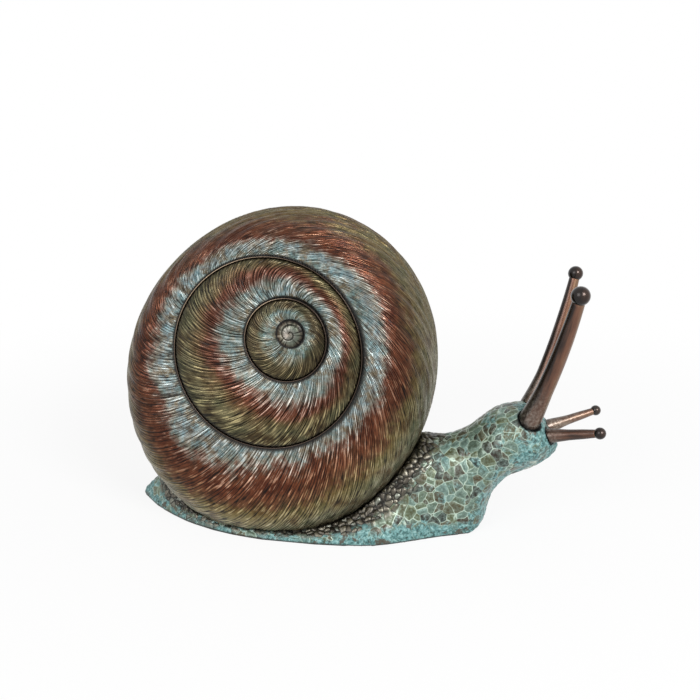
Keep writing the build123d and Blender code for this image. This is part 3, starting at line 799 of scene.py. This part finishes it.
# Cast bronze under a thin lacquer: the scales shine softly, the verdigris between and over them is chalky.
body_bronze, tree, shader = new_finish("scaled bronze with turquoise verdigris")
rest = add_node(tree, "ShaderNodeAttribute", attribute_name="rest").outputs["Vector"]
near, green, socket = (
    add_node(tree, "ShaderNodeAttribute", attribute_name=title).outputs["Fac"]
    for title in ("by_shell", "verdigris", "socket")
)
joint, cell = scale_pattern(tree, rest, near)
cell_parts = add_node(tree, "ShaderNodeSeparateColor", {"Color": cell}).outputs
broad, blotch, fine = (
    add_node(
        tree,
        "ShaderNodeTexNoise",
        {"Vector": rest},
        {"Scale": 1 / across, "Detail": detail, "Roughness": roughness},
    ).outputs["Fac"]
    for across, detail, roughness in ((17 * mm, 3.0, 0.5), (8 * mm, 4.0, 0.5), (2.2 * mm, 5.0, 0.7))
)
scale_colour = add_node(
    tree,
    "ShaderNodeValToRGB",
    {"Fac": cell_parts["Red"]},
    stops=[
        (0.0, "#190F08"),
        (0.2, "#3A2310"),
        (0.36, "#54401C"),
        (0.6, "#585A30"),
        (0.8, "#5D6F5E"),
        (1.0, "#6C867E"),
    ],
).outputs["Color"]
speckle = [(0.38, "#1E221D"), (0.47, "#566A61"), (0.55, "#748C83"), (0.64, "#A6BCB3")]
speckle = add_node(tree, "ShaderNodeValToRGB", {"Fac": fine}, stops=speckle).outputs["Color"]
mottled = add_node(tree, "ShaderNodeMix", {6: scale_colour, 7: speckle}, {0: 0.4}, data_type="RGBA").outputs[2]
hollow = add_node(tree, "ShaderNodeMapRange", {0: joint}, {1: 0.05, 2: 0.35, 3: 1.15, 4: 0.8}).outputs[0]
mottled = add_node(tree, "ShaderNodeVectorMath", {0: mottled, "Scale": hollow}, operation="SCALE").outputs[0]
turquoise = [(0.36, "#203532"), (0.45, "#456E6C"), (0.54, "#648F8F"), (0.65, "#98BCB9")]
turquoise = add_node(tree, "ShaderNodeValToRGB", {"Fac": fine}, stops=turquoise).outputs["Color"]
spread = add_node(tree, "ShaderNodeMath", {0: green}, {1: 0.14}, operation="ADD").outputs[0]
for source, amount in ((broad, 1.5), (cell_parts["Green"], 0.55), (fine, 0.9)):
    swing = {1: amount, 2: -amount / 2}
    swing = add_node(tree, "ShaderNodeMath", {0: source}, swing, operation="MULTIPLY_ADD").outputs[0]
    spread = add_node(tree, "ShaderNodeMath", {0: spread, 1: swing}, operation="ADD").outputs[0]
cover = add_node(tree, "ShaderNodeMapRange", {0: spread}, {1: 0.3, 2: 0.75}, **soft).outputs[0]
skin = add_node(tree, "ShaderNodeMix", {0: cover, 6: mottled, 7: turquoise}, data_type="RGBA").outputs[2]
# Thin pale lines of verdigris stay in the joints, and fade out where the colour lies all over.
line = add_node(tree, "ShaderNodeMapRange", {0: joint}, {1: 0.012, 2: 0.055, 3: 1.0, 4: 0.0}, **soft).outputs[0]
clear = add_node(tree, "ShaderNodeMapRange", {0: cover}, {3: 0.85, 4: 0.2}).outputs[0]
patchy = add_node(tree, "ShaderNodeMapRange", {0: blotch}, {1: 0.4, 2: 0.56, 3: 0.2, 4: 1.0}).outputs[0]
held = add_node(tree, "ShaderNodeMath", {0: line, 1: clear}, operation="MULTIPLY").outputs[0]
held = add_node(tree, "ShaderNodeMath", {0: held, 1: patchy}, operation="MULTIPLY").outputs[0]
skin = add_node(tree, "ShaderNodeMix", {0: held, 6: skin}, {7: linear("#BCD0C0")}, data_type="RGBA").outputs[2]
# Brown metal shows through in spots, most of all along the margin.
rust = add_node(tree, "ShaderNodeMapRange", {0: blotch}, {1: 0.58, 2: 0.66, 4: 0.85}, **soft).outputs[0]
rust = add_node(tree, "ShaderNodeMath", {0: rust, 1: cover}, operation="MULTIPLY").outputs[0]
skin = add_node(tree, "ShaderNodeMix", {0: rust, 6: skin}, {7: linear("#4A3A2A")}, data_type="RGBA").outputs[2]
# By the shell the scales are bare dark beads of metal, and the joints are black.
bead = [(0.0, "#34302A"), (0.5, "#58534A"), (0.8, "#6E6A5E"), (1.0, "#7A8078")]
bead = add_node(tree, "ShaderNodeValToRGB", {"Fac": cell_parts["Blue"]}, stops=bead).outputs["Color"]
gap = add_node(tree, "ShaderNodeMapRange", {0: joint}, {1: 0.02, 2: 0.16, 3: 1.0, 4: 0.0}).outputs[0]
bead = add_node(tree, "ShaderNodeMix", {0: gap, 6: bead}, {7: linear("#151411")}, data_type="RGBA").outputs[2]
frayed = add_node(tree, "ShaderNodeMath", {0: fine}, {1: 0.9, 2: -0.45}, operation="MULTIPLY_ADD").outputs[0]
single = {0: cell_parts["Blue"], 2: frayed}
single = add_node(tree, "ShaderNodeMath", single, {1: 0.5}, operation="MULTIPLY_ADD").outputs[0]
single = add_node(tree, "ShaderNodeMath", {0: single, 1: near}, operation="ADD").outputs[0]
bare = add_node(tree, "ShaderNodeMapRange", {0: single}, {1: 0.52, 2: 0.84}, **soft).outputs[0]
skin = add_node(tree, "ShaderNodeMix", {0: bare, 6: skin, 7: bead}, data_type="RGBA").outputs[2]
# A thin dark line is painted along the bottom of the foot.
level = add_node(tree, "ShaderNodeSeparateXYZ", {0: rest}).outputs["Z"]
foot_bottom_line = add_node(tree, "ShaderNodeMapRange", {0: level}, {1: 0.8 * mm, 2: 1.8 * mm, 3: 0.85, 4: 0.0}).outputs[0]
skin = add_node(tree, "ShaderNodeMix", {0: foot_bottom_line, 6: skin}, {7: linear("#26221E")}, data_type="RGBA").outputs[2]
# The joint round each stalk is painted black and dull: painted shade in the gap between stalk and head.
skin = add_node(tree, "ShaderNodeMix", {0: socket, 6: skin}, {7: linear("#0A0B0B")}, data_type="RGBA").outputs[2]
metal = add_node(tree, "ShaderNodeMapRange", {0: bare}, {3: 0.25, 4: 0.85}).outputs[0]
metal = add_node(tree, "ShaderNodeMath", {0: metal, 1: socket}, operation="MAXIMUM").outputs[0]
gloss = add_node(tree, "ShaderNodeMapRange", {0: socket}, {3: 0.18, 4: 0.0}).outputs[0]
rough = add_node(tree, "ShaderNodeMapRange", {0: cover}, {3: 0.32, 4: 0.5}).outputs[0]
bump = add_node(tree, "ShaderNodeBump", {"Height": fine}, {"Strength": 0.35, "Distance": 0.4 * mm})
tree.links.new(skin, shader.inputs["Base Color"])
tree.links.new(metal, shader.inputs["Metallic"])
tree.links.new(rough, shader.inputs["Roughness"])
tree.links.new(bump.outputs["Normal"], shader.inputs["Normal"])
tree.links.new(gloss, shader.inputs["Coat Weight"])
shader.inputs["Coat Roughness"].default_value = 0.2
shader.inputs["Specular IOR Level"].default_value = 0.4
body.data.materials.append(body_bronze)
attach(body, "root")
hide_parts("body_casting")

# Stalks. Four turned bronze rods, drawn out to a taper, the long ones a little bowed, each flared into a collar
# that sits in a socket of the head and pinned to a ball at its tip. They are darkened and streaked with copper
# red, and painted lighter on the side that faces out and forward: partly wear, partly a painted highlight.

stalk_taper = np.array([1.03, 0.96, 0.89, 0.82, 0.68])
taper_shares = [0, 1 / 4.5, 2 / 4.5, 3 / 4.5]
stalk_rows, ball_rows = 56, 28
row_crowding = 0.15
flare_power = 1.5
seat_depths = np.array([0.85, 0.75])
foot_lip = 1
ball_ease = 0.02
# The direction of the side of each stalk that is painted lighter, as wear and a painted highlight.
highlight_side = np.array([0.8, -0.5, 0.25])


def stalk_line(start, end, bow):
    """Points and directions along a stalk, from its seat to the middle of its ball."""
    run = (end - start) / np.linalg.norm(end - start)
    forward = np.array([1, 0, 0]) - run * run[0]
    middle = (start + end) / 2 + forward / np.linalg.norm(forward) * 2 * bow

    def at(share):
        share = np.asarray(share, float)[..., None]
        spot = (1 - share) ** 2 * start + 2 * share * (1 - share) * middle + share**2 * end
        way = 2 * (1 - share) * (middle - start) + 2 * share * (end - middle)
        return spot, way / np.linalg.norm(way, axis=-1, keepdims=True)

    return at


def turned_place(at, shares, lift, radii):
    """Points of a turned piece: at each row a place on a line, a lift off it along the line, and a radius."""

    def place(turn, row):
        index = np.rint(row[:, 0] * (len(shares) - 1)).astype(int)
        spot, way = at(np.asarray(shares)[index])
        side = np.cross(way, [0, 0, 1.0])
        side /= np.linalg.norm(side, axis=-1, keepdims=True)
        front = np.cross(way, side)
        spot = spot + way * np.asarray(lift)[index][:, None]
        angle = 2 * np.pi * turn
        reach = np.asarray(radii)[index][:, None]
        return (
            spot[:, None]
            + side[:, None] * (reach * np.cos(angle))[..., None]
            + front[:, None] * (reach * np.sin(angle))[..., None]
        )

    return place


def stalk_and_ball(title, start, end, bow, ball_radius, collar_radius, collar_height):
    """A stalk with its flared collar, and the ball on its end. The sizes are in millimetres."""
    at = stalk_line(start * mm, end * mm, bow * mm)
    length = np.linalg.norm(end - start)
    top = ball_radius * stalk_taper[-1]
    last = 1 - math.sqrt(ball_radius**2 - top**2) / length
    shares = np.linspace(0, last, stalk_rows) ** (1 + row_crowding) / last**row_crowding
    radii = ball_radius * np.interp(shares, [*taper_shares, last], stalk_taper)
    flare = np.clip(1 - shares * length / collar_height, 0, 1) ** flare_power
    radii = radii + (collar_radius - radii) * flare
    radii = np.concatenate([[radii[0] - foot_lip, radii[0]], radii])
    shares = np.concatenate([[0, 0], shares])
    lift = np.zeros(len(shares))
    lift[:2] = -seat_depths * collar_radius
    rod = whorl_skin(
        title,
        cords=(18, 3),
        shares=np.linspace(0, 1, len(shares)),
        place=turned_place(at, shares, lift * mm, radii * mm),
        depth=0,
        seed=41,
    )
    angles = np.linspace(math.pi - math.asin(top / ball_radius), 0.02, ball_rows)
    smaller = ball_radius - ball_ease
    ball = whorl_skin(
        title.replace("stalk", "ball"),
        cords=(16, 3),
        shares=np.linspace(0, 1, ball_rows),
        place=turned_place(at, np.ones(ball_rows), smaller * np.cos(angles) * mm, smaller * np.sin(angles) * mm),
        depth=0,
        seed=43,
    )
    return rod, ball


def stalk_finish(name, stops, roughness):
    """Darkened bronze with long copper streaks, its outer side lighter by wear and painted highlight, under gloss
    lacquer.
    """
    finish, tree, shader = new_finish(name)
    grain = add_node(tree, "ShaderNodeAttribute", attribute_name="grain").outputs["Vector"]
    wear_and_highlight = add_node(tree, "ShaderNodeAttribute", attribute_name="wear_and_highlight").outputs["Fac"]
    dusty = add_node(tree, "ShaderNodeAttribute", attribute_name="dusty").outputs["Fac"]
    place = add_node(tree, "ShaderNodeTexCoord").outputs["Object"]
    long = {"Scale": 1 / (2.6 * mm), "Detail": 4.0}
    streak = add_node(tree, "ShaderNodeTexNoise", {"Vector": grain}, long).outputs["Fac"]
    small = {"Scale": 1 / (2 * mm), "Detail": 4.0, "Roughness": 0.7}
    speck = add_node(tree, "ShaderNodeTexNoise", {"Vector": place}, small).outputs["Fac"]
    streak_and_highlight = add_node(tree, "ShaderNodeMath", {0: streak, 2: wear_and_highlight}, {1: 0.7}, operation="MULTIPLY_ADD").outputs[0]
    colour = add_node(tree, "ShaderNodeValToRGB", {"Fac": streak_and_highlight}, stops=stops).outputs["Color"]
    dust = [(0.34, "#2B2622"), (0.5, "#6A625A"), (0.66, "#A09A90")]
    dust = add_node(tree, "ShaderNodeValToRGB", {"Fac": speck}, stops=dust).outputs["Color"]
    whole = add_node(tree, "ShaderNodeMix", {0: dusty, 6: colour, 7: dust}, data_type="RGBA").outputs[2]
    bump = add_node(tree, "ShaderNodeBump", {"Height": speck}, {"Strength": 0.25, "Distance": 0.3 * mm})
    tree.links.new(whole, shader.inputs["Base Color"])
    tree.links.new(bump.outputs["Normal"], shader.inputs["Normal"])
    shader.inputs["Metallic"].default_value = 0.7
    shader.inputs["Roughness"].default_value = roughness
    shader.inputs["Coat Weight"].default_value = 0.35
    shader.inputs["Coat Roughness"].default_value = 0.22
    return finish


def weather_and_light(piece, foot, reach):
    """Mark a turned piece: lighter on its outer, forward side by wear and painted highlight, dusty near its foot, in
    metres.
    """
    points, normals = points_of(piece)
    attribute(piece, "wear_and_highlight", np.clip(0.1 + 0.6 * (normals @ highlight_side), 0.02, 0.7))
    above = np.linalg.norm(points - foot, axis=1)
    attribute(piece, "dusty", 0.75 * np.clip(1 - above / reach, 0, 1) ** 1.5)


# Turned bronze, darkened and handled: long streaks from near black to copper, lighter on one side as a painted
# highlight, satin, and grey dust at the foot.
stalk_bronze = stalk_finish(
    "rubbed dark bronze, stalks",
    stops=[(0.36, "#1E1512"), (0.5, "#38271F"), (0.66, "#5A3C2D"), (0.85, "#6E4A37"), (1.0, "#7C6048")],
    roughness=0.38,
)
# The same bronze left dark and polished: the balls are almost black, with small clear highlights.
ball_bronze = stalk_finish(
    "dark bronze, balls",
    stops=[(0.3, "#0E0A08"), (0.7, "#1C1411"), (1.0, "#35251C")],
    roughness=0.24,
)
for side, sign, upper_ball, lower_ball, lower_dust in (("right", 1, 6.1, 4.0, 14), ("left", -1, 5.1, 3.6, 44)):
    for row, tip, line, bow, ball_radius, collar, flare_height, dust in (
        ("upper", "eye", upper_stalk, 2.0, upper_ball, upper_collar, 24.0, 34),
        ("lower", "tip", lower_stalk, 0.0, lower_ball, lower_collar, 14.0, lower_dust),
    ):
        start, end = line * (1, sign, 1)
        rod, ball = stalk_and_ball(f"{row}_stalk_{side}", start, end, bow, ball_radius, collar, flare_height)
        for piece, node, finish, slot in (
            (rod, f"{row}_tentacle_{side}", stalk_bronze, "stalk_bronze"),
            (ball, f"{row}_{tip}_{side}", ball_bronze, "dark_bronze"),
        ):
            weather_and_light(piece, start * mm, dust * mm)
            piece.data.materials.append(finish)
            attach(piece, "root")
            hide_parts(node)

# Shell screws. Four steel screws that come up through the foot and hold the two shell halves down.
# Only their heads show, in the recess of the sole. Their CAD shape is right, so it stays and gets its finish.

# Zinc plate, tumbled: a pale, even metal with a faint cloudy grain.
screw_steel, tree, shader = new_finish("zinc plated steel")
place = add_node(tree, "ShaderNodeTexCoord").outputs["Object"]
cloudy = {"Scale": 1 / (2 * mm), "Detail": 3.0}
cloudy = add_node(tree, "ShaderNodeTexNoise", {"Vector": place}, cloudy).outputs["Fac"]
zinc = [(0.3, "#8A8C8E"), (0.7, "#B4B6B8")]
zinc = add_node(tree, "ShaderNodeValToRGB", {"Fac": cloudy}, stops=zinc).outputs["Color"]
tree.links.new(zinc, shader.inputs["Base Color"])
shader.inputs["Metallic"].default_value = 1.0
shader.inputs["Roughness"].default_value = 0.35
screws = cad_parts["shell_screws"]
screws.data.materials.clear()
screws.data.materials.append(screw_steel)

# Floor, light and camera. A wide sheet of white paper that runs on into a white background, a soft box from
# the front right and a weaker one from the left, and the camera at the snail's right side, a little in front
# of it and above.

floor_size = 8
shadow_from, shadow_to = 0.2, 0.7
shadow_white = 0.86
sky_light = 0.46
lit_point = Vector((-0.02, 0, 0.1))
aim_point = Vector((-0.0075, 0, 0.1228))

deselect()
bpy.ops.mesh.primitive_plane_add(size=floor_size, location=(0, 0, 0))
floor = bpy.context.object
floor.name = "floor"


def seen_directly(tree):
    """One on rays from the camera and on rays seen in gloss or glass, else nought."""
    path = add_node(tree, "ShaderNodeLightPath").outputs
    seen = path["Is Camera Ray"]
    for other in ("Is Glossy Ray", "Is Transmission Ray"):
        seen = add_node(tree, "ShaderNodeMath", {0: seen, 1: path[other]}, operation="MAXIMUM").outputs[0]
    return seen


# Matt paper scatters light evenly: pure white away from the snail, with its soft shadow kept close round it.
white, tree, shader = new_finish("matt white paper")
shader.inputs["Base Color"].default_value = linear("#F4F4F4")
shader.inputs["Roughness"].default_value = 0.9
place = add_node(tree, "ShaderNodeTexCoord").outputs["Object"]
reach = add_node(tree, "ShaderNodeVectorMath", {0: place}, operation="LENGTH").outputs["Value"]
plain = {1: shadow_from, 2: shadow_to, 3: shadow_white, 4: 1.0}
plain = add_node(tree, "ShaderNodeMapRange", {0: reach}, plain, **soft).outputs[0]
share = add_node(tree, "ShaderNodeMath", {0: seen_directly(tree), 1: plain}, operation="MULTIPLY").outputs[0]
glow = add_node(tree, "ShaderNodeEmission", values={"Color": linear("#FFFFFF"), "Strength": 1.0}).outputs[0]
both = add_node(tree, "ShaderNodeMixShader", {0: share, 1: shader.outputs[0], 2: glow}).outputs[0]
tree.links.new(both, tree.nodes["Material Output"].inputs["Surface"])
floor.data.materials.append(white)

world = bpy.data.worlds.new("studio")
bpy.context.scene.world = world
world.use_nodes = True
tree = world.node_tree
sky = tree.nodes["Background"]
sky.inputs["Color"].default_value = linear("#FFFFFF")
strength = add_node(tree, "ShaderNodeMapRange", {0: seen_directly(tree)}, {3: sky_light, 4: 1.0}).outputs[0]
tree.links.new(strength, sky.inputs["Strength"])

for name, stand, size, power in (
    ("key", (1.15, -1.2, 1.15), 0.7, 26),
    ("fill", (-0.7, -1.4, 0.9), 0.9, 11),
):
    lamp = bpy.data.lights.new(name, "AREA")
    lamp.size = size
    lamp.energy = power
    light = bpy.data.objects.new(name, lamp)
    bpy.context.scene.collection.objects.link(light)
    light.location = stand
    light.rotation_euler = (lit_point - Vector(stand)).to_track_quat("-Z", "Y").to_euler()

camera = bpy.data.objects.new("camera", bpy.data.cameras.new("camera"))
bpy.context.scene.collection.objects.link(camera)
camera.data.sensor_width = 36
camera.data.lens = 46.29
camera.location = (0.10776, -0.59296, 0.30173)
camera.rotation_euler = (aim_point - camera.location).to_track_quat("-Z", "Y").to_euler()
bpy.context.scene.camera = camera
bpy.context.scene.view_settings.view_transform = "Standard"
